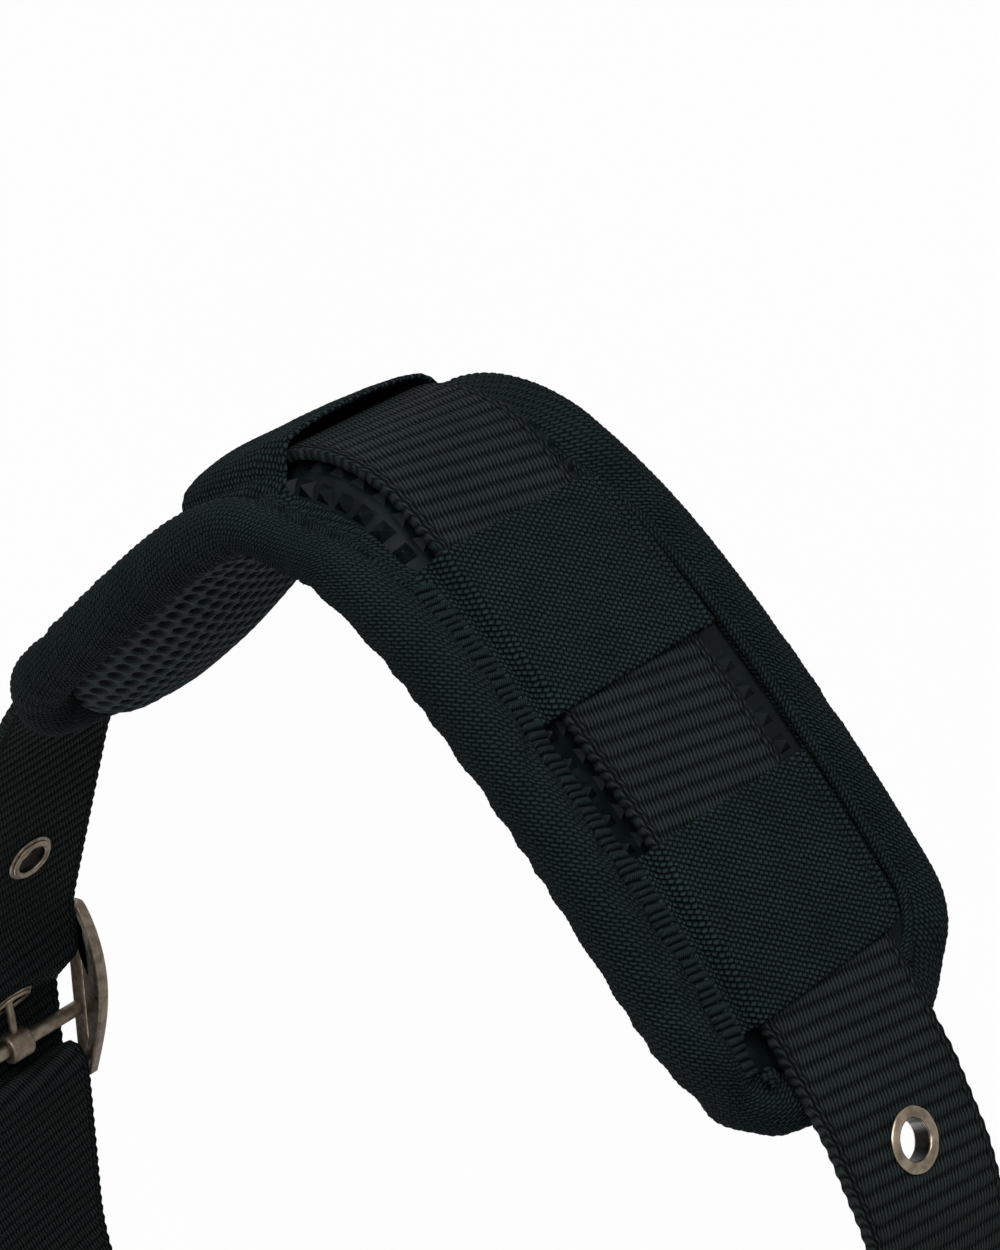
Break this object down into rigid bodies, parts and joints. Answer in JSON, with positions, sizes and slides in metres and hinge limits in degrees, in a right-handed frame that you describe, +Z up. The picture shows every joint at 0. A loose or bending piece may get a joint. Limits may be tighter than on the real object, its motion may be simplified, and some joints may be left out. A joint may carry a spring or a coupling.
{
  "type": "padded tool belt",
  "caption": "Closed work belt of wide webbing with metal eyelets, a tongue buckle and a padded back support held on by elastic loops.",
  "frame": {"origin": "on the axis of the wearer's waist, level with the pad's lower edge, in the middle of the hoop's plan", "axes": "+Z up along the waist's axis, +Y towards the crest of the back pad, +X towards the strap with the free eyelets"},
  "size_m": [0.3262, 0.4672, 0.1014],
  "materials": {
    "webbing": "black woven nylon",
    "elastic": "black woven elastic",
    "border": "black coarse nylon cloth",
    "rubber": "glossy black",
    "foam": "grey foam",
    "mesh": "black spacer mesh",
    "metal": "aged steel"
  },
  "bodies": {
    "belt": {"buckle_frame": "metal", "edge_border": "border", "elastic_loop_left_1": "elastic", "elastic_loop_left_2": "elastic", "elastic_loop_right_1": "elastic", "elastic_loop_right_2": "elastic", "eyelet_left_1": "metal", "eyelet_right_1": "metal", "eyelet_right_2": "metal", "foam_core": "foam", "main_webbing": "webbing", "mesh_liner": "mesh", "stud_panel": "rubber", "tongue_bar": "metal", "washer_left_1": "metal", "washer_right_1": "metal", "washer_right_2": "metal"},
    "tail": {"eyelet_tail_1": "metal", "eyelet_tail_2": "metal", "eyelet_tongue": "metal", "washer_tail_1": "metal", "washer_tail_2": "metal", "washer_tongue": "metal", "webbing_tail": "webbing"},
    "tongue": {"tongue": "metal"}
  },
  "joints": [
    {"name": "tail_lift", "type": "hinge", "parent": "belt", "child": "tail", "pos_m": [-0.14922, -0.07162, 0.0505], "axis": [0, 0, -1], "range_deg": [0, 20]},
    {"name": "tongue_lift", "type": "hinge", "parent": "belt", "child": "tongue", "pos_m": [-0.13643, -0.10645, 0.0505], "axis": [0, 0, 1], "range_deg": [0, 14]}
  ],
  "couplings": [
    {"joint": "tongue_lift", "follows": "tail_lift", "ratio": 0.7}
  ]
}
